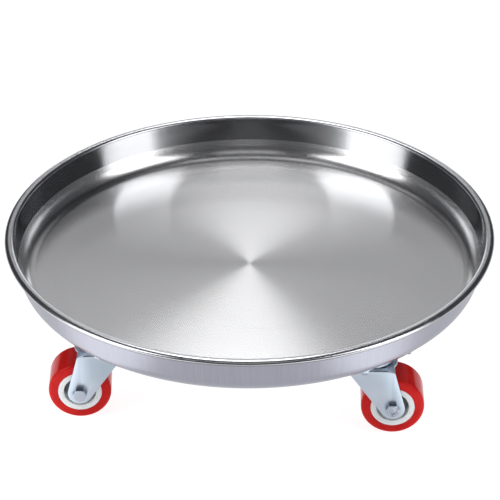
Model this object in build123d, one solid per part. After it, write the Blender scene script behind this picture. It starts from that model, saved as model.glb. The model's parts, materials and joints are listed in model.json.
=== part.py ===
from build123d import *
from math import acos, cos, degrees, pi, radians, sin, tan
import os

# Round plant pot caddy: a spun steel tray with a rolled rim on four swivel casters.
# Millimetres. Z is up, the floor is z = 0 and the tray's axis is x = y = 0.
# Every caster is first made with its swivel axis on Z and its wheel trailing along +X.

os.makedirs("parts", exist_ok=True)

# ---------------------------------------------------------------- driving dimensions

# Tray: one disc of sheet, drawn up into a wall and curled outward into a flattened bead.
tray_radius = 200.0
tray_depth = 36.5
tray_sheet = 1.0
bead_width = 7.6             # across the curl, from the wall to the rim's outside
bead_height = 5.0
curl_gap = 0.2               # from the curl's cut edge back to the wall
wall_flare = 5.0             # how far the wall leans out from the corner to the rim
tray_corner_radius = 13.0    # inside radius between floor and wall

# Caster positions, and the way each wheel trails, as degrees round the tray's axis.
caster_inset = 47.5          # from the rim's outside in to a caster's swivel axis
casters = {
    "front_left": {"station": 225.0, "trail": 187.5},
    "front_right": {"station": 315.0, "trail": 4.5},
    "rear_right": {"station": 45.0, "trail": 20.0},
    "rear_left": {"station": 135.0, "trail": 158.0},
}

# Wheel: a soft tread cast round a moulded core that holds two small ball bearings.
wheel_radius = 25.0
wheel_width = 30.0
tread_thickness = 7.5
tread_corner = 3.0
key_height = 1.2             # ridge round the core that the tread is cast over
key_width = 8.0
key_top_width = 4.8
core_rim_thickness = 4.8
core_edge = 0.6
groove_depth = 8.0           # annular recess between the core's rim and its hub
hub_radius = 8.8
hub_overhang = 0.3           # the hub stands this far out of each side of the rim
bearing_outer_radius = 7.5
bearing_width = 5.0
inner_ring_thickness = 1.2
bearing_shoulder = 2.0       # step that each bearing sits against

# Axle: bolt, thin nut and the sleeve that keeps the two inner rings apart.
axle_radius = 3.0
axle_clearance = 0.05
sleeve_wall = 1.2
axle_head_flats = 10.0
axle_head_height = 3.6
axle_nut_height = 3.0
bolt_end_recess = 0.4        # the bolt stops this far short of the nut's end
hex_chamfer = 0.5

# Fork: one pressed strip, with a round crown that carries the ball tracks.
fork_sheet = 2.0
fork_side_gap = 0.3          # hub end to the inside of a leg
fork_lead = 17.0             # swivel axis to wheel axle, measured along the floor
boss_radius = 9.6
crown_clearance = 10.3       # tyre to the underside of the crown
crown_half_length = 17.0
crown_radius = 20.5
leg_knee_drop = 5.5          # straight part of the legs below the crown's top
bend_radius = 3.0
shoulder_radius = 18.5       # outside this the crown's top slopes down
shoulder_slope = 30.0        # degrees

# Swivel: large balls carry the load above the crown, small balls hold it from below.
king_pin_radius = 4.0
king_pin_clearance = 0.08
race_clearance = 0.1
upper_ball_radius = 2.38
upper_pitch_radius = 13.2
upper_ball_count = 10
upper_track_depth = 1.2
track_wall = 1.8             # metal left under the upper track
lower_ball_radius = 1.59
lower_pitch_radius = 7.4
lower_ball_count = 7
lower_track_depth = 0.6
cup_gap = 1.8                # crown's top to the lip of the top plate's cup
cap_floor = 1.4
cap_track_depth = 0.8
cap_radius = 10.2
cap_rim_wall = 0.8
cap_rim_gap = 0.9
pin_head_radius = 7.2
pin_head_flat_radius = 4.3   # flat on top of the dome
pin_head_height = 3.2
pin_head_edge = 1.1          # upright edge below the dome
pin_foot_radius = 6.2
pin_foot_height = 1.8

# Top plate: flat flange with four slots and a drawn cup for the upper balls.
plate_sheet = 2.5
plate_radial = 50.0
plate_tangential = 62.0
plate_corner = 6.0
cup_recess_depth = 7.0       # plate's top to the top of the ball track's crest
cup_centre_radius = 9.0
cup_mouth_radius = 22.5
slot_length = 9.0
slot_pitch_radial = 34.0
slot_pitch_tangential = 46.0

# Fixings: studs welded to the tray's underside, with washers and nuts below the plate.
stud_radius = 2.5
stud_length = 10.0
stud_clearance = 0.25
washer_radius = 5.0
washer_thickness = 1.0
nut_flats = 8.0
nut_height = 4.0

# ---------------------------------------------------------------- levels and fits

axle_z = wheel_radius
crown_bottom = 2 * wheel_radius + crown_clearance
crown_top = crown_bottom + fork_sheet
upper_track_radius = upper_ball_radius + race_clearance
upper_ball_z = crown_top - upper_track_depth + upper_track_radius
track_crest_z = upper_ball_z + upper_track_radius + plate_sheet
plate_top = track_crest_z + cup_recess_depth
plate_bottom = plate_top - plate_sheet
cup_lip_z = crown_top + cup_gap
cup_floor_top = cup_lip_z + plate_sheet
lower_track_radius = lower_ball_radius + race_clearance
lower_ball_z = crown_bottom + lower_track_depth - lower_track_radius
cap_bottom = lower_ball_z - lower_track_radius - cap_floor
cap_top = cap_bottom + cap_floor + cap_track_depth

core_radius = wheel_radius - tread_thickness
key_radius = core_radius + key_height
hub_half = wheel_width / 2 + hub_overhang
leg_inner = hub_half + fork_side_gap
leg_outer = leg_inner + fork_sheet
pin_hole_radius = king_pin_radius + king_pin_clearance
axle_hole_radius = axle_radius + axle_clearance
inner_ring_radius = axle_hole_radius + inner_ring_thickness
floor_top = plate_top + tray_sheet
bead_centre_z = plate_top + tray_depth - bead_height / 2
caster_circle_radius = tray_radius - caster_inset

# ---------------------------------------------------------------- shared helpers


def ring_section(points):
    """Solid of revolution about Z from a closed outline of (radius, height) points."""
    outline = Plane.XZ * make_face(Polyline(*points, close=True))
    return revolve(outline, Axis.Z)


def track(pitch_radius, level, radius):
    """Torus that a ring of balls sweeps, with its centre circle at the given level."""
    return Pos(0, 0, level) * Torus(pitch_radius, radius)


def ball_ring(count, pitch_radius, level, radius):
    """Separate balls, evenly spaced round the swivel axis."""
    balls = [
        Pos(pitch_radius * cos(angle), pitch_radius * sin(angle), level) * Sphere(radius)
        for angle in (2 * pi * i / count for i in range(count))
    ]
    return Compound(children=balls)


def hexagon(flats, height):
    """Hexagonal prism on Z with the corners of its top turned off."""
    prism = extrude(RegularPolygon(flats / 2, 6, major_radius=False), height)
    corner = flats / 2 / cos(pi / 6)
    turned = ring_section([
        (0, 0), (corner, 0), (corner, height - hex_chamfer), (flats / 2, height), (0, height),
    ])
    return prism & turned


def on_axle(shape):
    """Lay a shape made about Z along the wheel's axle, with its +Z end towards +Y."""
    return Pos(fork_lead, 0, axle_z) * Rot(X=-90) * shape


def both_sides(shape):
    """A shape made about Z and its mirror image in z = 0, as two solids."""
    return Compound(children=[shape, mirror(shape, Plane.XY)])


# ---------------------------------------------------------------- tray and its fixings


def tray():
    """Floor, rounded corner, flared wall and rolled rim, all from one sheet."""
    wall_top = tray_radius - bead_width
    wall_foot = wall_top - wall_flare
    inner = FilletPolyline(
        (0, floor_top), (wall_foot, floor_top), (wall_top, bead_centre_z),
        radius=tray_corner_radius,
    )
    outer = FilletPolyline(
        (0, plate_top), (wall_foot + tray_sheet, plate_top), (wall_top + tray_sheet, bead_centre_z),
        radius=tray_corner_radius + tray_sheet,
    )
    across, upright = bead_width / 2, bead_height / 2
    middle = (tray_radius - across, bead_centre_z)
    wrap = 360 - degrees(acos((across - tray_sheet - curl_gap) / across))
    outside = EllipticalCenterArc(middle, across, upright, 180, arc_size=-wrap)
    inside = EllipticalCenterArc(middle, across - tray_sheet, upright - tray_sheet, 180, arc_size=-wrap)
    edges = inner.edges() + outer.edges() + outside.edges() + inside.edges()
    edges += Line(outside @ 1, inside @ 1).edges() + Line(inner @ 0, outer @ 0).edges()
    return revolve(Plane.XZ * make_face(edges), Axis.Z)


def stud_places():
    """Centres of the four studs of one caster, about its swivel axis."""
    x, y = slot_pitch_radial / 2, slot_pitch_tangential / 2
    return [(x, y), (-x, y), (-x, -y), (x, -y)]


def weld_stud():
    return Pos(0, 0, plate_top - stud_length / 2) * Cylinder(stud_radius, stud_length)


def washer():
    level = plate_bottom - washer_thickness
    disc = Cylinder(washer_radius, washer_thickness, align=(Align.CENTER, Align.CENTER, Align.MIN))
    hole = Cylinder(stud_radius + stud_clearance, 3 * washer_thickness)
    return Pos(0, 0, level) * (disc - hole)


def plate_nut():
    level = plate_bottom - washer_thickness
    nut = hexagon(nut_flats, nut_height) - Cylinder(stud_radius, 3 * nut_height)
    return Pos(0, 0, level) * Rot(X=180) * nut


# ---------------------------------------------------------------- fixed half of a caster


def top_plate():
    """Slotted flange with a drawn cup whose rim covers the ring of large balls."""
    flange = extrude(RectangleRounded(plate_radial, plate_tangential, plate_corner), plate_sheet)
    flange = Pos(0, 0, plate_bottom) * flange
    lip_outer = upper_pitch_radius + upper_track_radius + plate_sheet
    crest_inner = upper_pitch_radius - upper_track_radius
    crest_outer = upper_pitch_radius + upper_track_radius
    neck_z = track_crest_z - plate_sheet / 2
    cup = ring_section([
        (pin_hole_radius, cup_lip_z), (lip_outer, cup_lip_z), (lip_outer, neck_z),
        (cup_mouth_radius, plate_bottom), (cup_mouth_radius, plate_top),
        (cup_mouth_radius - plate_sheet / 2, plate_top), (crest_outer, track_crest_z),
        (crest_inner, track_crest_z), (cup_centre_radius, cup_floor_top),
        (pin_hole_radius, cup_floor_top),
    ])
    mouth = Pos(0, 0, plate_top) * Cylinder(cup_mouth_radius - plate_sheet / 2, 3 * plate_sheet)
    plate = (flange - mouth) + cup - track(upper_pitch_radius, upper_ball_z, upper_track_radius)
    slot_width = 2 * (stud_radius + stud_clearance)
    slot = extrude(SlotOverall(slot_length, slot_width, rotation=90), plate_sheet, both=True)
    for x, y in stud_places():
        plate -= Pos(x, y, plate_bottom) * slot
    return plate


def king_pin():
    """Rivet through cup, crown and cap, with a domed head above and a peened foot below."""
    foot_bottom = cap_bottom - pin_foot_height
    head_top = cup_floor_top + pin_head_height
    return ring_section([
        (0, foot_bottom), (pin_foot_radius - pin_foot_height / 2, foot_bottom),
        (pin_foot_radius, cap_bottom - pin_foot_height / 2), (pin_foot_radius, cap_bottom),
        (king_pin_radius, cap_bottom), (king_pin_radius, cup_floor_top),
        (pin_head_radius, cup_floor_top), (pin_head_radius, cup_floor_top + pin_head_edge),
        (pin_head_flat_radius, head_top), (0, head_top),
    ])


def race_cap():
    """Dished washer that holds the small balls up against the crown."""
    rim_top = crown_bottom - cap_rim_gap
    cap = ring_section([
        (pin_hole_radius, cap_bottom), (cap_radius - cap_rim_wall, cap_bottom),
        (cap_radius, cap_bottom + cap_rim_wall), (cap_radius, rim_top),
        (cap_radius - cap_rim_wall, rim_top), (cap_radius - cap_rim_wall, cap_top),
        (pin_hole_radius, cap_top),
    ])
    return cap - track(lower_pitch_radius, lower_ball_z, lower_track_radius)


# ---------------------------------------------------------------- fork


def channel(half_width, top, corner):
    """Long bar along X with rounded top edges; two of them make the fork's folded strip."""
    section = Pos(0, top / 2) * Rectangle(2 * half_width, top)
    section = fillet(section.vertices().group_by(Axis.Y)[-1], corner)
    return extrude(Plane.YZ * section, 2 * crown_radius, both=True)


def shoulder(top):
    """Blank that is level over the crown and slopes down outside the ball track."""
    reach = 2 * crown_radius
    drop = (reach - shoulder_radius) * tan(radians(shoulder_slope))
    return ring_section([(0, 0), (reach, 0), (reach, top - drop), (shoulder_radius, top), (0, top)])


def leg_outline():
    """Side view of a leg: straight edges from the crown, tangent to the axle boss."""
    boss = Pos(fork_lead, axle_z) * Circle(boss_radius)
    head = Pos(0, crown_top - leg_knee_drop / 2) * Rectangle(2 * crown_half_length, leg_knee_drop)
    return Plane.XZ * make_hull(boss.edges() + head.edges())


def fork():
    """Pressed fork: tapering legs, sloping shoulders and a round crown with both ball tracks."""
    outside = channel(leg_outer, crown_top, bend_radius) & shoulder(crown_top)
    inside = channel(leg_inner, crown_bottom, bend_radius - fork_sheet) & shoulder(crown_bottom)
    strip = outside - inside
    legs = strip & extrude(leg_outline(), 2 * leg_outer, both=True)
    crown = strip & Pos(0, 0, crown_top) * Cylinder(crown_radius, 2 * leg_knee_drop)
    rib = track(upper_pitch_radius, upper_ball_z, upper_track_radius + track_wall)
    rib &= Pos(0, 0, crown_bottom / 2) * Cylinder(crown_radius, crown_bottom)
    body = legs + crown + rib
    body -= track(upper_pitch_radius, upper_ball_z, upper_track_radius)
    body -= track(lower_pitch_radius, lower_ball_z, lower_track_radius)
    body -= Pos(0, 0, crown_top) * Cylinder(pin_hole_radius, 4 * fork_sheet)
    return body - on_axle(Cylinder(axle_hole_radius, 4 * leg_outer))


# ---------------------------------------------------------------- axle and wheel


def axle_bolt():
    """Hexagon bolt with its head outside the +Y leg."""
    tip = leg_outer + axle_nut_height - bolt_end_recess
    shank = Pos(0, 0, (leg_outer - tip) / 2) * Cylinder(axle_radius, leg_outer + tip)
    head = Pos(0, 0, leg_outer) * hexagon(axle_head_flats, axle_head_height)
    return on_axle(shank + head)


def axle_nut():
    """Thin nut outside the -Y leg."""
    nut = hexagon(axle_head_flats, axle_nut_height) - Cylinder(axle_radius, 3 * axle_nut_height)
    return on_axle(Rot(X=180) * Pos(0, 0, leg_outer) * nut)


def axle_sleeve():
    """Tube on the bolt between the two inner rings."""
    length = 2 * (hub_half - bearing_width)
    tube = Cylinder(axle_hole_radius + sleeve_wall, length) - Cylinder(axle_hole_radius, length)
    return on_axle(tube)


def inner_rings():
    """The two bearings' inner rings, clamped between sleeve and legs."""
    start = hub_half - bearing_width
    ring = ring_section([
        (axle_hole_radius, start), (inner_ring_radius, start),
        (inner_ring_radius, leg_inner), (axle_hole_radius, leg_inner),
    ])
    return on_axle(both_sides(ring))


def outer_rings():
    """The two bearings' outer rings and shields, which turn with the wheel."""
    start = hub_half - bearing_width
    bore = inner_ring_radius + axle_clearance
    ring = ring_section([
        (bore, start), (bearing_outer_radius, start), (bearing_outer_radius, hub_half), (bore, hub_half),
    ])
    return on_axle(both_sides(ring))


def wheel_core():
    """Moulded core: keyed rim, recessed web and a hub with a pocket for each bearing."""
    face = wheel_width / 2
    pocket = hub_half - bearing_width
    bore = bearing_outer_radius - bearing_shoulder
    groove_outer = core_radius - core_rim_thickness
    web = face - groove_depth
    half = [
        (bore, 0), (bore, pocket), (bearing_outer_radius, pocket), (bearing_outer_radius, hub_half),
        (hub_radius - core_edge, hub_half), (hub_radius, hub_half - core_edge), (hub_radius, web),
        (groove_outer, web), (groove_outer, face - core_edge), (groove_outer + core_edge, face),
        (core_radius, face), (core_radius, key_width / 2), (key_radius, key_top_width / 2),
        (key_radius, 0),
    ]
    core = ring_section(half)
    return on_axle(core + mirror(core, Plane.XY))


def tread():
    """Soft tyre with rounded shoulders, cast over the core's ridge."""
    band = Cylinder(wheel_radius, wheel_width)
    band = fillet(band.edges().filter_by(GeomType.CIRCLE), tread_corner)
    hollow = ring_section([
        (0, -wheel_width), (core_radius, -wheel_width), (core_radius, -key_width / 2),
        (key_radius, -key_top_width / 2), (key_radius, key_top_width / 2),
        (core_radius, key_width / 2), (core_radius, wheel_width), (0, wheel_width),
    ])
    return on_axle(band - hollow)


# ---------------------------------------------------------------- placing and writing


def place(shape, station, turn):
    """Put a caster's piece at its station on the tray, turned about its swivel axis."""
    x = caster_circle_radius * cos(radians(station))
    y = caster_circle_radius * sin(radians(station))
    return Pos(x, y, 0) * Rot(Z=turn) * shape


fixed_pieces = {"top_plate": top_plate(), "king_pin": king_pin(), "race_cap": race_cap()}
swivel_pieces = {
    "fork": fork(),
    "upper_balls": ball_ring(upper_ball_count, upper_pitch_radius, upper_ball_z, upper_ball_radius),
    "lower_balls": ball_ring(lower_ball_count, lower_pitch_radius, lower_ball_z, lower_ball_radius),
    "axle_bolt": axle_bolt(),
    "axle_nut": axle_nut(),
    "axle_sleeve": axle_sleeve(),
    "bearing_inner_rings": inner_rings(),
    "bearing_outer_rings": outer_rings(),
    "wheel_core": wheel_core(),
    "tread": tread(),
}

nodes = {"tray": tray()}
for name, fixing in {"weld_studs": weld_stud(), "washers": washer(), "plate_nuts": plate_nut()}.items():
    nodes[name] = Compound(children=[
        place(Pos(x, y, 0) * fixing, caster["station"], caster["station"])
        for caster in casters.values()
        for x, y in stud_places()
    ])
for corner_name, caster in casters.items():
    for name, piece in fixed_pieces.items():
        nodes[f"{name}_{corner_name}"] = place(piece, caster["station"], caster["station"])
    for name, piece in swivel_pieces.items():
        nodes[f"{name}_{corner_name}"] = place(piece, caster["station"], caster["trail"])

for name, shape in nodes.items():
    export_step(shape, f"parts/{name}.step")
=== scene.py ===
# %% [markdown]
# # A plant pot caddy in stainless steel, zinc and red polyurethane
#
# The real object is a round steel tray with a rolled rim. It stands on four swivel casters, so that a
# heavy pot can be rolled about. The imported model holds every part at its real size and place. This
# lesson gives each part its finish, and it rebuilds the parts whose curves have to look round up close.
# Everything is in metres, in the model's own frame, with Z up and the floor at z = 0.

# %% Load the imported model
import json
import math

import bmesh
import bpy
import numpy as np
from mathutils import Matrix, Vector


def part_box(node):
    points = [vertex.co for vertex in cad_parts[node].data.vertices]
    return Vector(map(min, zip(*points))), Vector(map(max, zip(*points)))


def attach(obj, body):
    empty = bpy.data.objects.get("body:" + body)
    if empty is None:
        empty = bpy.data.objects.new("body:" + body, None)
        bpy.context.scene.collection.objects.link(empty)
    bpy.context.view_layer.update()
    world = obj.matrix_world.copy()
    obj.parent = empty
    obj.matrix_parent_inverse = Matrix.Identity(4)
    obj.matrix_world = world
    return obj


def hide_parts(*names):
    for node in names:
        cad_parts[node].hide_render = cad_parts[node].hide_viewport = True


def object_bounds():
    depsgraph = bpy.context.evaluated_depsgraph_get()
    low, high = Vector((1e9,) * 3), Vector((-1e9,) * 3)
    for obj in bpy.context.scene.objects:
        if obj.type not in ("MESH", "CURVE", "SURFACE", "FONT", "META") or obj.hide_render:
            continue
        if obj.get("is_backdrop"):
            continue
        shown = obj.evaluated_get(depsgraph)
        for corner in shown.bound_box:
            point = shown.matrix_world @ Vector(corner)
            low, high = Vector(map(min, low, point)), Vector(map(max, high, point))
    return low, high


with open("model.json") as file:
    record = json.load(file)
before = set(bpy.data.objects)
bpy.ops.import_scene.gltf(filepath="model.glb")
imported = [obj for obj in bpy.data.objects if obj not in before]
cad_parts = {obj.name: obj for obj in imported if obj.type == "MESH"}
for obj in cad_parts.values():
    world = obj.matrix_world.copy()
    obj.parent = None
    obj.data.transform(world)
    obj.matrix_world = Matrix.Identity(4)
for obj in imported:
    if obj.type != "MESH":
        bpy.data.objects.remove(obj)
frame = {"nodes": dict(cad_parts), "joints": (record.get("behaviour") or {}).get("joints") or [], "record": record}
cad_box = [list(corner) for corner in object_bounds()]
MM = 0.001
CORNERS = ("front_left", "front_right", "rear_right", "rear_left")
print("the packed model measures, in mm:", [round((b - a) / MM, 2) for a, b in zip(*cad_box)])

# %% [markdown]
# ## Where everything is
#
# Each caster turns about an upright axis, and its wheel turns about a level axle. The record of the
# model lists both joints, so the places and the directions come from there and nothing is measured
# twice. A matrix for each caster takes a shape drawn about its own Z axis to the wheel's axle.

# %% Places of the casters and wheels
joint_of = {joint["name"]: joint for joint in frame["joints"]}


def wheel_matrix(corner):
    """Z of the wheel's own frame runs along the axle, its Y points up, and its origin is the hub."""
    roll = joint_of["roll_" + corner]
    axle = Vector(roll["axis"]).normalized()
    upward = Vector((0, 0, 1))
    sideways = upward.cross(axle)
    turn = Matrix((sideways, upward, axle)).transposed().to_4x4()
    return Matrix.Translation(roll["pos_m"]) @ turn


wheel_places = {corner: wheel_matrix(corner) for corner in CORNERS}
for corner, matrix in wheel_places.items():
    print(corner, "wheel centre, in mm:", [round(value / MM, 1) for value in matrix.translation])

# %% [markdown]
# ## The camera
#
# The tray is seen from the front and from above, with a long lens, so that its ellipse hardly narrows
# towards the back. The camera looks at a point a little below the rim. A small roll stands for the
# hand that held it. The three directions of the camera are worked out as unit vectors, because a
# tracking constraint couldn't hold the roll.

# %% Camera
rim_level = cad_box[1][2] - 3.5 * MM
camera_azimuth = math.radians(6.2)
camera_height = math.radians(31.02)
camera_roll = math.radians(-0.255)
camera_distance = 1.8
framing_right = 0.4 * MM
framing_up = -16.5 * MM
sensor_width_mm = 36
lens_mm = 158.04

camera_back = Vector((
    math.sin(camera_azimuth) * math.cos(camera_height),
    -math.cos(camera_azimuth) * math.cos(camera_height),
    math.sin(camera_height),
))
camera_right = Vector((math.cos(camera_azimuth), math.sin(camera_azimuth), 0))
camera_up = camera_back.cross(camera_right)
camera_data = bpy.data.cameras.new("camera")
camera_data.sensor_width = sensor_width_mm
camera_data.lens = lens_mm
camera_data.clip_end = 50
camera = bpy.data.objects.new("camera", camera_data)
bpy.context.scene.collection.objects.link(camera)
level_axes = Matrix((camera_right, camera_up, camera_back)).transposed().to_4x4()
camera_place = (
    Vector((0, 0, rim_level)) + camera_back * camera_distance
    + camera_right * framing_right + camera_up * framing_up
)
camera.matrix_world = Matrix.Translation(camera_place) @ level_axes @ Matrix.Rotation(camera_roll, 4, "Z")
bpy.context.scene.camera = camera
bpy.context.scene.view_settings.view_transform = "Standard"
print("the camera stands at", [round(value, 3) for value in camera_place])

# %% [markdown]
# ## The studio
#
# Polished steel shows only what stands round it, so the lights are as much a part of its look as the
# metal is. Two tall soft boxes stand left and right of the camera, and one hangs high behind the tray.
# Weaker panels fill in low behind it and above the front. The room behind the camera stays dark, and
# the tray's back wall shows it. A panorama of a studio could light the steel too, but with real boxes
# each reflection can be moved by itself.

# %% Soft boxes
tray_middle = Vector((0, 0, 0.1))


def soft_box(name, azimuth, height, distance, width, tall, strength):
    """A rectangular area light that faces the tray. Azimuth and height are in degrees, azimuth 0 is
    the front (-Y) and 90 is the right (+X). Strength is how bright the box looks, at any size."""
    around, above = math.radians(azimuth), math.radians(height)
    away = Vector((math.sin(around) * math.cos(above), -math.cos(around) * math.cos(above), math.sin(above)))
    data = bpy.data.lights.new(name, "AREA")
    data.shape = "RECTANGLE"
    data.size = width
    data.size_y = tall
    data.energy = strength * width * tall * math.pi
    light = bpy.data.objects.new(name, data)
    facing = away.to_track_quat("Z", "Y").to_matrix().to_4x4()
    light.matrix_world = Matrix.Translation(tray_middle + away * distance) @ facing
    bpy.context.scene.collection.objects.link(light)
    print(name, "gives", round(data.energy, 1), "W")
    return light


soft_box("right_box", azimuth=70, height=30, distance=2.4, width=1.25, tall=2.4, strength=2.75)
soft_box("left_box", azimuth=-61.3, height=30, distance=2.4, width=1.45, tall=2.4, strength=3.1)
soft_box("overhead_box", azimuth=191, height=61, distance=2.4, width=0.88, tall=1.2, strength=3.8)
soft_box("back_panel", azimuth=188, height=36, distance=2.4, width=1.4, tall=0.6, strength=0.52)
soft_box("back_screen", azimuth=186, height=12, distance=2.6, width=1.6, tall=0.9, strength=1.4)
soft_box("front_panel", azimuth=6, height=62, distance=2.4, width=1.0, tall=0.8, strength=0.6)

room = bpy.data.worlds.new("studio")
room.use_nodes = True
background = room.node_tree.nodes["Background"]
background.inputs["Color"].default_value = (0.9, 0.92, 1, 1)
background.inputs["Strength"].default_value = 0.05
bpy.context.scene.world = room
print("lights in the studio:", [light.name for light in bpy.data.lights])

# %% [markdown]
# ## Starting a finish
#
# Every surface of the caddy is plain metal, plastic or rubber, so each finish starts from one
# Principled shader. The nodes could be placed by hand in the shader editor, but wired by small
# helpers, each finish below reads as a short list of what the surface is like.

# %% A new finish
def new_finish(name, colour, metallic, roughness):
    """A material with one Principled shader, and its tree and shader to build on."""
    material = bpy.data.materials.new(name)
    material.use_nodes = True
    tree = material.node_tree
    shader = tree.nodes["Principled BSDF"]
    shader.inputs["Base Color"].default_value = (*colour, 1)
    shader.inputs["Metallic"].default_value = metallic
    shader.inputs["Roughness"].default_value = roughness
    return material, tree, shader


def add_node(tree, kind, inputs=(), **settings):
    """Adds a node, sets its properties, and links or sets its inputs by name or number."""
    node = tree.nodes.new(kind)
    for setting, value in settings.items():
        setattr(node, setting, value)
    for socket, value in dict(inputs).items():
        if isinstance(value, bpy.types.NodeSocket):
            tree.links.new(value, node.inputs[socket])
        else:
            node.inputs[socket].default_value = value
    return node


print("ready: new_finish and add_node")

# %% [markdown]
# ## Arithmetic on a place
#
# A finish often changes across a piece: here painted shade darkens a corner of the floor and the
# bead's underside. A pattern reads the piece's own coordinates, so it stays on the piece when the caster
# turns. A painted image could mark such places too, but a few sums on the coordinates stay sharp at any size.

# %% Places and sums
def object_place(tree):
    """Each point's place in the piece's own coordinates, in metres."""
    return add_node(tree, "ShaderNodeTexCoord").outputs["Object"]


def split(tree, vector):
    """The X, Y and Z of a vector, by name."""
    return add_node(tree, "ShaderNodeSeparateXYZ", {0: vector}).outputs


def calculate(tree, operation, *values):
    """One step of arithmetic on numbers or sockets."""
    return add_node(tree, "ShaderNodeMath", dict(enumerate(values)), operation=operation).outputs[0]


def soft_step(tree, value, start, end, low=0, high=1):
    """Goes from low at start to high at end, and is level before and after."""
    inputs = {"Value": value, "From Min": start, "From Max": end, "To Min": low, "To Max": high}
    return add_node(tree, "ShaderNodeMapRange", inputs, interpolation_type="SMOOTHSTEP").outputs["Result"]


print("ready: object_place, split, calculate and soft_step")

# %% [markdown]
# ## Uneven tone, gloss and height
#
# No real surface has one even colour or gloss. Smooth noise stands for small differences in plating,
# rolling and moulding. It is spread over a narrow range, and the same noise can change the tone, the
# roughness and the height, because on real parts these change together.

# %% Noise and bumps
def noise(tree, place, scale, detail=2.0, rough=0.5):
    """Smooth noise from 0 to 1 about 0.5."""
    inputs = {"Vector": place, "Scale": scale, "Detail": detail, "Roughness": rough}
    return add_node(tree, "ShaderNodeTexNoise", inputs).outputs["Fac"]


def spread(tree, value, low, high):
    """Stretches the middle half of a noise to run from low to high."""
    inputs = {"Value": value, "From Min": 0.25, "From Max": 0.75, "To Min": low, "To Max": high}
    return add_node(tree, "ShaderNodeMapRange", inputs).outputs["Result"]


def blend_colours(tree, share, first, second):
    """A colour between first and second, by a share from 0 to 1."""
    mix = add_node(tree, "ShaderNodeMix", {0: share}, data_type="RGBA")
    for number, colour in ((6, first), (7, second)):
        if isinstance(colour, bpy.types.NodeSocket):
            tree.links.new(colour, mix.inputs[number])
        else:
            mix.inputs[number].default_value = (*colour, 1)
    return mix.outputs[2]


def add_bump(tree, shader, height, strength, depth):
    """Tilts the surface by a height pattern that is depth metres deep."""
    inputs = {"Height": height, "Strength": strength, "Distance": depth}
    bump = add_node(tree, "ShaderNodeBump", inputs)
    tree.links.new(bump.outputs["Normal"], shader.inputs["Normal"])


print("ready: noise, spread, blend_colours and add_bump")

# %% [markdown]
# ## Scratches that follow a circle
#
# The tray was brushed and spun about its middle, so its marks follow circles or cross them. Noise
# stretched along an unwrapped map would do, but the map has a seam. Here the noise reads the
# direction from the axis, which comes round to its start by itself.

# %% Round the axis
def distance_from_axis(tree, flat):
    """How far a point is from the Z axis, from its place with Z left out."""
    return add_node(tree, "ShaderNodeVectorMath", {0: flat}, operation="LENGTH").outputs["Value"]


def without_height(tree, place):
    """A place with its Z set to 0."""
    return add_node(tree, "ShaderNodeVectorMath", {0: place, 1: (1, 1, 0)}, operation="MULTIPLY").outputs[0]


def around_axis(tree, across, along, upward):
    """Coordinates that follow circles about Z: the direction from the axis times along, and the
    distance from the axis times across plus the height times upward. They have no seam."""
    place = object_place(tree)
    flat = without_height(tree, place)
    direction = add_node(tree, "ShaderNodeVectorMath", {0: flat}, operation="NORMALIZE").outputs[0]
    turned = add_node(tree, "ShaderNodeVectorMath", {0: direction, "Scale": along}, operation="SCALE")
    parts = split(tree, turned.outputs[0])
    ring = calculate(tree, "MULTIPLY", distance_from_axis(tree, flat), across)
    level = calculate(tree, "MULTIPLY_ADD", split(tree, place)["Z"], upward, ring)
    return add_node(tree, "ShaderNodeCombineXYZ", {"X": parts["X"], "Y": parts["Y"], "Z": level}).outputs[0]


def brush_tangent(tree, shader, amount, turn):
    """Stretches highlights round the Z axis, or across that with a turn of 0.25."""
    tangent = add_node(tree, "ShaderNodeTangent", direction_type="RADIAL", axis="Z")
    tree.links.new(tangent.outputs["Tangent"], shader.inputs["Tangent"])
    shader.inputs["Anisotropic"].default_value = amount
    shader.inputs["Anisotropic Rotation"].default_value = turn


print("ready: distance_from_axis, without_height, around_axis and brush_tangent")

# %% [markdown]
# ## Stainless steel, five ways
#
# One sheet of steel makes the whole tray, but it has five finishes: a brushed floor, a polished wall,
# a satin bead, a brushed skirt outside, and an underside as it came from the mill. The floor was
# brushed while the tray turned, so its scratches are circles, and light fans out across them from
# the centre. Scratches this fine are too small to be modelled. The shader's anisotropy stretches the
# highlights across them instead, which gives the same fans of light.

# %% Brushed floor
STEEL = (0.80, 0.80, 0.81)
BEND_PAINTED_SHADE = (0.30, 0.30, 0.31)
BEND_FOOT = 180.5 * MM


def bend_foot_shade(tree):
    """0 in a soft ring of painted shade at the foot of the bend behind, and 1 everywhere else."""
    distance = distance_from_axis(tree, without_height(tree, object_place(tree)))
    beside = calculate(tree, "ABSOLUTE", calculate(tree, "SUBTRACT", distance, BEND_FOOT))
    clear = soft_step(tree, beside, 2 * MM, 5 * MM)
    front = soft_step(tree, split(tree, object_place(tree))["Y"], -40 * MM, 60 * MM, low=1, high=0)
    return calculate(tree, "MAXIMUM", clear, front)


def brushed_floor():
    """Circular scratches: thin rings of noise vary the tone, and broad ones the roughness. At the foot
    of the bend behind, the tone is painted darker as painted shade."""
    material, tree, shader = new_finish("steel_floor_brushed", STEEL, metallic=1, roughness=0.26)
    scratch = noise(tree, around_axis(tree, across=420, along=0.5, upward=0), 1, detail=1)
    broad = noise(tree, around_axis(tree, across=60, along=1.2, upward=0), 1)
    tone = blend_colours(tree, spread(tree, scratch, 0, 1), STEEL, (0.815, 0.815, 0.825))
    # painted shade: the tone darkens in a soft ring at the foot of the bend, in the back half only
    tree.links.new(blend_colours(tree, bend_foot_shade(tree), BEND_PAINTED_SHADE, tone), shader.inputs["Base Color"])
    tree.links.new(spread(tree, broad, 0.256, 0.268), shader.inputs["Roughness"])
    brush_tangent(tree, shader, amount=0.85, turn=0.25)
    return material


steel_floor = brushed_floor()
print(steel_floor.name, "has", len(steel_floor.node_tree.nodes), "nodes")
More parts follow.
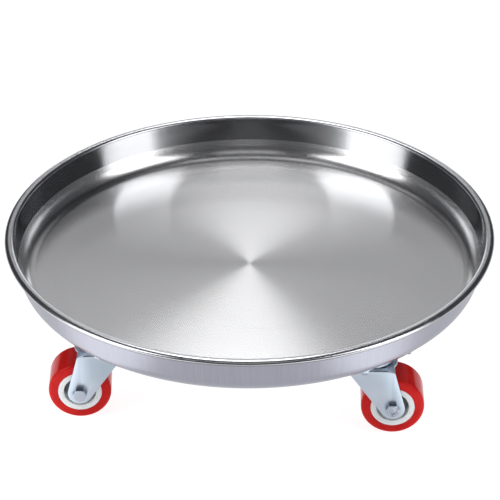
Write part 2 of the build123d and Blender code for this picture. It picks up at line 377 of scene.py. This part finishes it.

# %% [markdown]
# ## The wall and the bead
#
# The wall was polished until it mirrors the room, but spinning left it faintly wavy. The bead has a
# softer polish, and its tone is painted darker towards its underside, as painted shade. A perfectly
# even mirror would look like glass, so a shallow bump bends the wall's reflections.

# %% Polished wall and satin bead
POLISHED = (0.48, 0.485, 0.495)
SATIN = (0.58, 0.585, 0.61)
SATIN_PAINTED_SHADE = (0.16, 0.16, 0.18)


def polished_wall():
    """Bright steel whose faint upright ripples come from the spinning tool."""
    material, tree, shader = new_finish("steel_wall_polished", POLISHED, metallic=1, roughness=0.07)
    ripple = noise(tree, around_axis(tree, across=0, along=45, upward=8), 1, detail=3)
    haze = noise(tree, around_axis(tree, across=300, along=3, upward=300), 1, detail=1)
    tree.links.new(spread(tree, haze, 0.05, 0.07), shader.inputs["Roughness"])
    add_bump(tree, shader, ripple, strength=0.15, depth=0.15 * MM)
    return material


def satin_bead():
    """A soft polish, with painted shade: the tone falls off within the bead's upper 4 mm, darkest below."""
    material, tree, shader = new_finish("steel_bead_satin", SATIN, metallic=1, roughness=0.24)
    bead_top = cad_box[1][2]
    level = split(tree, object_place(tree))["Z"]
    upper = soft_step(tree, level, bead_top - 3.8 * MM, bead_top - 0.8 * MM)
    haze = noise(tree, around_axis(tree, across=300, along=30, upward=300), 1, detail=1)
    # painted shade: the bead's tone darkens towards its underside
    tone = blend_colours(tree, upper, SATIN_PAINTED_SHADE, SATIN)
    tree.links.new(tone, shader.inputs["Base Color"])
    tree.links.new(spread(tree, haze, 0.20, 0.26), shader.inputs["Roughness"])
    return material


steel_wall = polished_wall()
steel_bead = satin_bead()
for material in (steel_wall, steel_bead):
    print(material.name, "has", len(material.node_tree.nodes), "nodes")

# %% [markdown]
# ## The skirt and the underside
#
# The skirt was brushed up and down, so its scratches are upright streaks. The underside is taken to
# have kept the dull skin of rolled sheet. Both could share one grey, but streaks break the skirt's
# reflection of the floor into fine upright lines, and the underside has only slow clouds.

# %% Brushed skirt and plain underside
def brushed_skirt():
    """Upright scratches outside the wall."""
    material, tree, shader = new_finish("steel_skirt_brushed", STEEL, metallic=1, roughness=0.36)
    streaks = noise(tree, around_axis(tree, across=0, along=420, upward=25), 1, detail=5, rough=0.6)
    tone = blend_colours(tree, spread(tree, streaks, 0, 1), (0.26, 0.265, 0.31), (0.33, 0.335, 0.385))
    tree.links.new(tone, shader.inputs["Base Color"])
    tree.links.new(spread(tree, streaks, 0.28, 0.38), shader.inputs["Roughness"])
    brush_tangent(tree, shader, amount=0.4, turn=0.0)
    add_bump(tree, shader, streaks, strength=0.3, depth=0.02 * MM)
    return material


def mill_underside():
    """Dull rolled sheet with soft cloudy stains."""
    material, tree, shader = new_finish("steel_underside_mill", STEEL, metallic=1, roughness=0.45)
    cloud = noise(tree, object_place(tree), 30, detail=5)
    tone = blend_colours(tree, spread(tree, cloud, 0, 1), (0.58, 0.58, 0.60), (0.70, 0.70, 0.71))
    tree.links.new(tone, shader.inputs["Base Color"])
    tree.links.new(spread(tree, cloud, 0.40, 0.52), shader.inputs["Roughness"])
    return material


steel_finishes = [steel_floor, steel_wall, steel_bead, brushed_skirt(), mill_underside()]
print("steel finishes:", [material.name for material in steel_finishes])

# %% [markdown]
# ## Zinc plate
#
# Pressed steel casters are plated with zinc and dipped in a blue-white passivation, which leaves
# faint clouds of colour. A plain grey metal would do from far away, but the slow clouds in tone and
# gloss are what tells plating apart from paint. Bolts and balls are the same recipe, darker or smoother.

# %% Zinc plate
def zinc_plate(name, dark, light, smooth, rough):
    """Plated steel: clouds of tone and roughness, and a fine grain from the pressed sheet."""
    material, tree, shader = new_finish(name, light, metallic=1, roughness=rough)
    place = object_place(tree)
    cloud = noise(tree, place, 45, detail=4)
    tint = noise(tree, place, 22, detail=1)
    tone = blend_colours(tree, spread(tree, cloud, 0, 1), dark, light)
    warm = blend_colours(tree, spread(tree, tint, 0, 0.35), tone, (0.58, 0.555, 0.63))
    tree.links.new(warm, shader.inputs["Base Color"])
    tree.links.new(spread(tree, cloud, smooth, rough), shader.inputs["Roughness"])
    add_bump(tree, shader, noise(tree, place, 1800, detail=2), strength=0.15, depth=0.02 * MM)
    return material


finish_of_slot = {
    "zinc": zinc_plate("zinc_blue_white", (0.32, 0.39, 0.455), (0.40, 0.465, 0.53), 0.26, 0.40),
    "bolt_zinc": zinc_plate("zinc_bright", (0.25, 0.29, 0.34), (0.34, 0.38, 0.44), 0.10, 0.20),
    "ball_steel": zinc_plate("bearing_steel", (0.60, 0.61, 0.63), (0.70, 0.71, 0.73), 0.08, 0.16),
}
print("metal finishes of the casters:", list(finish_of_slot))

# %% [markdown]
# ## Moulded nylon
#
# The wheel's core is moulded in off-white nylon. Light goes a little way into it, so its shadows are
# soft, and a little subsurface scattering does the same. The floor deep in its groove gets painted shade.
# That could be a dark pattern on one finish, but a second finish on the groove's floor keeps it there.

# %% Nylon, clean and with painted shade
def white_plastic():
    """Moulded nylon: a soft sheen, with a slightly uneven gloss."""
    material, tree, shader = new_finish("white_nylon", (0.71, 0.73, 0.745), metallic=0, roughness=0.35)
    place = object_place(tree)
    cloud = noise(tree, place, 60, detail=3)
    tone = blend_colours(tree, spread(tree, cloud, 0, 1), (0.66, 0.685, 0.70), (0.76, 0.78, 0.79))
    tree.links.new(tone, shader.inputs["Base Color"])
    tree.links.new(spread(tree, cloud, 0.30, 0.42), shader.inputs["Roughness"])
    shader.inputs["Subsurface Weight"].default_value = 0.15
    shader.inputs["Subsurface Radius"].default_value = (1, 1, 1)
    shader.inputs["Subsurface Scale"].default_value = 1.5 * MM
    return material


def groove_painted_shade():
    """The same nylon deep in the groove, painted dark as painted shade."""
    material, tree, shader = new_finish("white_nylon_painted_shade", (0.16, 0.17, 0.17), metallic=0, roughness=0.6)
    cloud = noise(tree, object_place(tree), 90, detail=3)
    tone = blend_colours(tree, spread(tree, cloud, 0, 1), (0.12, 0.13, 0.13), (0.24, 0.25, 0.25))
    tree.links.new(tone, shader.inputs["Base Color"])
    return material


finish_of_slot["core_plastic"] = white_plastic()
# painted shade: a dark finish for the floor of the core's groove
groove_shade = groove_painted_shade()
print("nylon finishes:", finish_of_slot["core_plastic"].name, "and", groove_shade.name)

# %% [markdown]
# ## Cast polyurethane
#
# The tyre is cast in red polyurethane, which is glossy and lets a little light in. A plain red plastic
# would look hard, so this one scatters some light inside, mostly red, and a very shallow bump breaks
# the edge of its highlights.

# %% Red tyre
def red_polyurethane():
    """Cast tyre: deep red, with a wet gloss and a slightly uneven skin."""
    material, tree, shader = new_finish("red_polyurethane", (0.53, 0.013, 0.012), metallic=0, roughness=0.15)
    place = object_place(tree)
    cloud = noise(tree, place, 70, detail=4)
    tone = blend_colours(tree, spread(tree, cloud, 0, 1), (0.47, 0.008, 0.008), (0.58, 0.017, 0.015))
    tree.links.new(tone, shader.inputs["Base Color"])
    tree.links.new(spread(tree, cloud, 0.11, 0.18), shader.inputs["Roughness"])
    shader.inputs["Subsurface Weight"].default_value = 0.1
    shader.inputs["Subsurface Radius"].default_value = (1, 0.15, 0.1)
    shader.inputs["Subsurface Scale"].default_value = 2 * MM
    shader.inputs["Specular IOR Level"].default_value = 0.08
    add_bump(tree, shader, noise(tree, place, 350, detail=3), strength=0.1, depth=0.05 * MM)
    return material


finish_of_slot["red_tread"] = red_polyurethane()
print("caster finishes:", list(finish_of_slot))

# %% [markdown]
# ## Turned shapes
#
# The tray, the tyre and the wheel's core are all turned about an axis. A Screw modifier could turn an
# outline too, but a grid worked out with numpy lets each face remember which step of the outline it
# came from, and a finish can follow that. A closed outline of distance and height is carried round the
# axis, and every point is worked out at once. Points on the axis fall together and are merged into one.

# %% Surfaces of revolution
SAME_POINT = 0.001 * MM
TURNED_EDGE = math.radians(40)


def turned_mesh(name, outline, steps, place=Matrix()):
    """Point (i, j) is (r_j cos a_i, r_j sin a_i, z_j), with a_i = 2 pi i / steps and (r_j, z_j) from
    the closed outline. Four neighbours make a face, and each face notes its step of the outline."""
    radius, level = np.asarray(outline, float).T
    angle = 2 * np.pi * np.arange(steps) / steps
    grid = np.stack([
        np.outer(np.cos(angle), radius), np.outer(np.sin(angle), radius),
        np.broadcast_to(level, (steps, len(level))),
    ], axis=-1)
    around, along = np.meshgrid(np.arange(steps), np.arange(len(level)), indexing="ij")
    next_around, next_along = (around + 1) % steps, (along + 1) % len(level)
    corners = [(around, along), (next_around, along), (next_around, next_along), (around, next_along)]
    faces = np.stack([i * len(level) + j for i, j in corners], axis=-1).reshape(-1, 4)
    mesh = bpy.data.meshes.new(name)
    mesh.from_pydata(grid.reshape(-1, 3), [], faces)
    step = mesh.attributes.new("outline_step", "INT", "FACE")
    step.data.foreach_set("value", along.reshape(-1).astype(np.int32))
    mesh.transform(place)
    return mesh


def paint_steps(mesh, finish_of_step):
    """Gives every face the finish of its step of the outline."""
    steps = np.zeros(len(mesh.polygons), np.int32)
    mesh.attributes["outline_step"].data.foreach_get("value", steps)
    mesh.polygons.foreach_set("material_index", finish_of_step[steps].astype(np.int32))


def close_and_face_out(mesh):
    """Merges points that fall together, drops faces without area and points all faces outwards."""
    work = bmesh.new()
    work.from_mesh(mesh)
    bmesh.ops.remove_doubles(work, verts=work.verts, dist=SAME_POINT)
    bmesh.ops.dissolve_degenerate(work, edges=work.edges, dist=SAME_POINT / 2)
    bmesh.ops.recalc_face_normals(work, faces=work.faces)
    work.to_mesh(mesh)
    work.free()
    return mesh


print("turned surfaces count as smooth below", round(math.degrees(TURNED_EDGE)), "degrees")

# %% [markdown]
# ## Arcs and rounded corners
#
# Bent sheet and moulded plastic have no sharp corner anywhere. An outline could be a list of many
# points, but it is easier to change when it has only its real corners, and two formulas turn them
# into round stretches.

# %% Arcs and rounded corners
def arc(centre, across, upright, start, end, count):
    """Points on an oval from one angle to another, in degrees: (x + a cos t, z + b sin t)."""
    angle = np.radians(np.linspace(start, end, count))
    return np.stack([centre[0] + across * np.cos(angle), centre[1] + upright * np.sin(angle)], axis=-1)


def rounded(points, radius, count):
    """A closed outline whose corners are rounded: the arc at a corner P between unit directions u and
    v touches both sides at P + t u and P + t v, and is drawn as the curve P + t (u (1-s)^2 + v s^2)."""
    corner = np.asarray(points, float)
    back, ahead = np.roll(corner, 1, axis=0) - corner, np.roll(corner, -1, axis=0) - corner
    long_back, long_ahead = (np.linalg.norm(side, axis=1, keepdims=True) for side in (back, ahead))
    reach = np.minimum(radius, 0.45 * np.minimum(long_back, long_ahead))
    share = np.linspace(0, 1, count)[:, None, None]
    curve = corner + reach * (back / long_back * (1 - share) ** 2 + ahead / long_ahead * share ** 2)
    return curve.transpose(1, 0, 2).reshape(-1, 2)


unit_square = [(0, 0), (1, 0), (1, 1), (0, 1)]
print("a square with rounded corners has", len(rounded(unit_square, 0.2, 6)), "points")

# %% [markdown]
# ## Handing over a piece
#
# The casters swivel and the wheels roll, so every finished piece has to ride on the right moving body
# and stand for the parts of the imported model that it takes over.

# %% Adding a piece
def add_piece(name, mesh, body, slot_name, *nodes):
    """Puts a finished mesh in the scene, lets it ride on its body and stand for its nodes."""
    piece = bpy.data.objects.new(name, mesh)
    bpy.context.scene.collection.objects.link(piece)
    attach(piece, body)
    if nodes:
        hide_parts(*nodes)
    return piece


print("ready: add_piece")

# %% [markdown]
# ## The tray
#
# A disc of sheet is spun into a dish, and its edge is curled outward into a hollow bead, which stiffens
# the rim and hides the cut edge. Its outline runs from the centre of the floor up the inside,
# round the curl, back along the curl's inside, and down the outside to the centre again. A single
# line with a Solidify modifier would be shorter, but with both sides drawn, the wall, the curl and the
# skirt can each have their own finish.

# %% Tray outline
tray_low, tray_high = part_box("tray")
tray_radius = tray_high.x
sheet = 1.0 * MM
bead_across = 7.6 * MM / 2
bead_upright = 5.0 * MM / 2
curl_gap = 0.2 * MM
wall_flare = 5.0 * MM
corner_radius = 13.0 * MM
tray_bottom = tray_low.z
floor_top = tray_bottom + sheet
bead_level = tray_high.z - bead_upright
bead_centre = tray_radius - bead_across
wall_top = bead_centre - bead_across
wall_foot = wall_top - wall_flare
INSIDE_POINTS = 24
OUTSIDE_POINTS = 20
CURL_POINTS = 84
LINING_POINTS = 20


def dish_side(foot, level, corner, top, steps):
    """Floor, rounded corner and leaning wall: the corner's arc touches both straight lines."""
    turn = math.atan2(bead_level - level, top - foot)
    centre = (foot - corner * math.tan(turn / 2), level + corner)
    rings = np.linspace(0, centre[0], steps // 4, endpoint=False)
    floor = np.stack([rings, np.full(len(rings), level)], axis=-1)
    bend = arc(centre, corner, corner, -90, -90 + math.degrees(turn), steps)
    share = np.linspace(0, 1, steps // 4, endpoint=False)[1:, None]
    wall = bend[-1] * (1 - share) + np.array([top, bead_level]) * share
    return floor, bend, wall


def tray_outline():
    """The closed outline, and the number of its points in each stretch. The curl stops where its cut
    edge comes within curl_gap of the wall."""
    wrap = 360 - math.degrees(math.acos((bead_across - sheet - curl_gap) / bead_across))
    centre = (bead_centre, bead_level)
    floor, bend, wall = dish_side(wall_foot, floor_top, corner_radius, wall_top, INSIDE_POINTS)
    curl = arc(centre, bead_across, bead_upright, 180, 180 - wrap, CURL_POINTS)
    lining = arc(centre, bead_across - sheet, bead_upright - sheet, 180 - wrap, 180, LINING_POINTS)
    under, under_bend, skirt = dish_side(
        wall_foot + sheet, tray_bottom, corner_radius + sheet, wall_top + sheet, OUTSIDE_POINTS,
    )
    stretches = [floor, bend, wall, curl, lining, skirt[::-1], under_bend[::-1], under[::-1]]
    return np.concatenate(stretches), [len(stretch) for stretch in stretches]


tray_points, stretch_lengths = tray_outline()
print("the tray's outline has", len(tray_points), "points, in stretches of", stretch_lengths)

# %% [markdown]
# ## Five finishes on one mesh
#
# On the real tray one sheet runs through every finish, so the tray stays one mesh with five materials
# and isn't cut into five parts. Each stretch of the outline gets its own finish, and the borders
# between them are true circles. Many steps round the axis keep the rim smooth from close by.

# %% Tray mesh
TRAY_STEPS = 512
FINISH_OF_STRETCH = [0, 0, 1, 2, 3, 3, 3, 4]


def tray_shell():
    """The outline turned about Z. Floor and bend are finish 0, the wall 1, the curl 2, everything
    from the curl's lining down the skirt 3, and the underside 4."""
    mesh = turned_mesh("tray_shell", tray_points, TRAY_STEPS)
    for material in steel_finishes:
        mesh.materials.append(material)
    paint_steps(mesh, np.repeat(FINISH_OF_STRETCH, stretch_lengths))
    close_and_face_out(mesh)
    mesh.shade_smooth()
    mesh.set_sharp_from_angle(angle=TURNED_EDGE)
    return add_piece("tray_shell", mesh, "root", "stainless", "tray")


tray = tray_shell()
print("tray_shell has", len(tray.data.polygons), "faces")

# %% [markdown]
# ## The sizes of a wheel
#
# A red tyre sits on a nylon core and grips a ridge round it. Both are drawn in the wheel's own frame:
# distance from the axle, then position along it. Each outline could have numbers of its own, but they
# share these sizes and the ridge's points, so tyre and core still fit when a size is changed.

# %% Wheel sizes
wheel_radius = 25.0 * MM
half_width = 15.0 * MM
tread_thickness = 7.5 * MM
shoulder = 3.0 * MM
core_radius = wheel_radius - tread_thickness
ridge_height = 1.2 * MM
ridge_foot = 4.0 * MM
ridge_top = 2.4 * MM
ridge = [
    (core_radius, ridge_foot), (core_radius + ridge_height, ridge_top),
    (core_radius + ridge_height, -ridge_top), (core_radius, -ridge_foot),
]
bearing_radius = 7.5 * MM
bearing_width = 5.0 * MM
bearing_step = 2.0 * MM
hub_radius = 8.8 * MM
hub_end = half_width + 0.3 * MM
groove_radius = core_radius - 4.8 * MM
groove_floor = half_width - 8.0 * MM
moulded_edge = 0.7 * MM
print(
    "the groove is", round((half_width - groove_floor) / MM, 1), "mm deep and",
    round((groove_radius - hub_radius) / MM, 1), "mm wide",
)

# %% [markdown]
# ## The tyre
#
# The tyre was cast in a mould and has round shoulders. A cylinder with a Bevel modifier would have the
# same shoulders, but not the groove inside that takes the ridge, so its whole section is drawn.

# %% Tyre outline
SHOULDER_POINTS = 12


def tyre_outline():
    """Across the tread from one side face to the other, then back along the ridge inside."""
    edge = (wheel_radius - shoulder, half_width - shoulder)
    lower = arc((edge[0], -edge[1]), shoulder, shoulder, -90, 0, SHOULDER_POINTS)
    upper = arc(edge, shoulder, shoulder, 0, 90, SHOULDER_POINTS)
    side = np.array([(core_radius, half_width), *ridge, (core_radius, -half_width)])
    return np.concatenate([lower, upper, side])


print("the tyre's outline has", len(tyre_outline()), "points")

# %% [markdown]
# ## The core
#
# The core is moulded, with a deep groove on each side between its rim and its hub, and the hub holds
# a bearing in each end. One side is drawn and mirrored. Its corners are rounded in the outline itself
# and not by a Bevel modifier, so that a finish can still follow the outline's steps.

# %% Core outline
CORNER_POINTS = 6
GROOVE_FLOORS = ((4, 5), (14, 15))


def core_outline():
    """One side of the core from the bearing's step out to its ridge, and the same mirrored."""
    bore = bearing_radius - bearing_step
    pocket = hub_end - bearing_width
    side = [
        (bore, pocket), (bearing_radius, pocket), (bearing_radius, hub_end), (hub_radius, hub_end),
        (hub_radius, groove_floor), (groove_radius, groove_floor), (groove_radius, half_width),
        (core_radius, half_width), *ridge[:2],
    ]
    mirrored = [(distance, -level) for distance, level in reversed(side)]
    return rounded(side + mirrored, moulded_edge, CORNER_POINTS)


def groove_steps():
    """1 for the outline's steps along each groove's floor, and 0 elsewhere. GROOVE_FLOORS counts the
    outline's corners, and each floor runs from its first corner to its second."""
    steps = np.zeros(len(core_outline()), int)
    for first, second in GROOVE_FLOORS:
        steps[first * CORNER_POINTS:(second + 1) * CORNER_POINTS - 1] = 1
    return steps


print("the core's outline has", len(core_outline()), "points, with", groove_steps().sum(), "steps of groove")

# %% [markdown]
# ## Eight wheel parts
#
# Each tyre and core is drawn about its own Z axis and then moved to its axle, with its place in its
# mesh, so that it turns about the right line when its wheel rolls. The core gets a second finish on
# the groove's floor, painted dark as painted shade, which makes the groove look deep.

# %% Tyres and cores
WHEEL_STEPS = 160


def wheel_piece(name, corner, outline, slot_name, node, *more_finishes, finish_of_step=None):
    """Turns an outline about one wheel's axle and lets it roll with that wheel."""
    mesh = turned_mesh(name, outline, WHEEL_STEPS, wheel_places[corner])
    for material in (finish_of_slot[slot_name], *more_finishes):
        mesh.materials.append(material)
    if finish_of_step is not None:
        paint_steps(mesh, finish_of_step)
    close_and_face_out(mesh)
    mesh.shade_smooth()
    mesh.set_sharp_from_angle(angle=TURNED_EDGE)
    return add_piece(name, mesh, "wheel_" + corner, slot_name, node)


for corner in CORNERS:
    wheel_piece("tyre_" + corner, corner, tyre_outline(), "red_tread", "tread_" + corner)
    wheel_piece(
        "core_" + corner, corner, core_outline(), "core_plastic", "wheel_core_" + corner, groove_shade,
        finish_of_step=groove_steps(),
    )
print("turned", 2 * len(CORNERS), "wheel parts")

# %% [markdown]
# ## Softer edges
#
# The edges of pressed and turned steel are never knife sharp, and each one catches a thin bright line.
# A Bevel modifier could cut them too, but here the flat faces are first joined again, so that the
# bevel runs only along real edges and not along the lines between triangles.

# %% Bevels
BEVELLED = ("fork", "top_plate", "king_pin", "axle_bolt", "axle_nut", "race_cap")
BEVEL_ANGLE = math.radians(35)
FLAT_ANGLE = math.radians(0.2)
PRESSED_EDGE = math.radians(28)
edge_softness = 0.2 * MM


def bevel_edges(work, width):
    """Joins the flat faces and cuts a two-step bevel along every edge sharper than BEVEL_ANGLE."""
    bmesh.ops.dissolve_limit(work, angle_limit=FLAT_ANGLE, verts=work.verts, edges=work.edges)
    sharp = [edge for edge in work.edges if edge.calc_face_angle(0) > BEVEL_ANGLE]
    bmesh.ops.bevel(
        work, geom=sharp, offset=width, offset_type="OFFSET", segments=2, profile=0.5, affect="EDGES",
        clamp_overlap=False,
    )
    bmesh.ops.triangulate(work, faces=[face for face in work.faces if len(face.verts) > 4])


print("edges sharper than", round(math.degrees(BEVEL_ANGLE)), "degrees get a bevel")

# %% [markdown]
# ## Parts that keep the model's shape
#
# Forks, plates, pins, bolts and nuts already have the right shape, so drawing them again would only
# risk a misfit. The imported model's faces are loose triangles, so the points of a copy are merged first.
# Pressed and turned parts then get their bevels, and each copy gets its finish.

# %% Copies with softened edges
def softened_copy(node, body, slot_name):
    """A merged copy of a node's mesh, with a bevel if it is a pressed or turned part."""
    mesh = frame["nodes"][node].data.copy()
    mesh.name = node + "_part"
    work = bmesh.new()
    work.from_mesh(mesh)
    bmesh.ops.remove_doubles(work, verts=work.verts, dist=SAME_POINT)
    if node.startswith(BEVELLED):
        bevel_edges(work, edge_softness)
    work.to_mesh(mesh)
    work.free()
    mesh.materials.clear()
    mesh.materials.append(finish_of_slot[slot_name])
    mesh.shade_smooth()
    mesh.set_sharp_from_angle(angle=PRESSED_EDGE)
    return add_piece(node + "_part", mesh, body, slot_name, node)


print("a copy's edges stay sharp above", round(math.degrees(PRESSED_EDGE)), "degrees")

# %% [markdown]
# ## Which part gets which finish
#
# The record of the model says what each part is made of and which body it belongs to. Both could be
# typed out for fifty parts, but read from the record they can't go wrong.

# %% Every other part
slot_of = {part["node"]: part["material_slot"] for part in frame["record"]["subparts"]}
body_of = {
    node: body for body, members in frame["record"]["behaviour"]["bodies"].items() for node in members
}
copied = [node for node in frame["nodes"] if not node.startswith(("tray", "tread", "wheel_core"))]
for node in copied:
    softened_copy(node, body_of[node], slot_of[node])
print("copied", len(copied), "nodes")

# %% [markdown]
# ## The floor
#
# A plain pale floor shows where the wheels stand and throws soft light up onto the skirt. The skirt
# leans outward and mirrors the floor close by, so two pools of painted light, glowing in the floor itself,
# make it brighter at the left and right. Lamps under the tray would do that too, but they would also light its
# underside.

# %% Stage
floor_reach = 8.0
floor_glow = 0.86
pool_glow = 1.15
pool_centre = 12 * MM


def light_pools(tree):
    """1 in two pools of painted light ahead of the tray, left and right, and 0 between them and behind."""
    place = split(tree, object_place(tree))
    aside = calculate(tree, "ABSOLUTE", calculate(tree, "SUBTRACT", place["X"], pool_centre))
    beside = soft_step(tree, aside, 115 * MM, 165 * MM)
    ahead = soft_step(tree, place["Y"], -160 * MM, -90 * MM, low=1, high=0)
    return calculate(tree, "MULTIPLY", beside, ahead)


def studio_floor():
    """A pale floor that glows evenly, with two pools of painted light."""
    material, tree, shader = new_finish("studio_floor", (0.38, 0.38, 0.38), metallic=0, roughness=0.8)
    shader.inputs["Specular IOR Level"].default_value = 0.2
    shader.inputs["Emission Color"].default_value = (1, 1, 1, 1)
    # painted light: the floor's glow is stronger in two pools left and right
    glow = calculate(tree, "MULTIPLY_ADD", light_pools(tree), pool_glow, floor_glow)
    tree.links.new(glow, shader.inputs["Emission Strength"])
    mesh = bpy.data.meshes.new("studio_floor")
    corners = np.array([(-1, -1, 0), (1, -1, 0), (1, 1, 0), (-1, 1, 0)]) * floor_reach
    mesh.from_pydata(corners, [], [(0, 1, 2, 3)])
    mesh.materials.append(material)
    floor = bpy.data.objects.new("studio_floor", mesh)
    bpy.context.scene.collection.objects.link(floor)
    floor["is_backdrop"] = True
    return floor


floor = studio_floor()
print("the floor measures, in m:", list(floor.dimensions.xy))

# %% [markdown]
# ## The two boxes
#
# The finished pieces should fill the same box as the imported model, to within about a tenth of a
# millimetre, because softened edges and finer facets hardly change a size. The box could be looked up in
# the sidebar, but printed here, both boxes can be compared after every change.

# %% Print both boxes and finish
sizes = {"cad": cad_box, "visual": [list(corner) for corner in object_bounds()]}
for name, box in sizes.items():
    print(name, "box, in mm:", [round((b - a) / MM, 2) for a, b in zip(*box)])
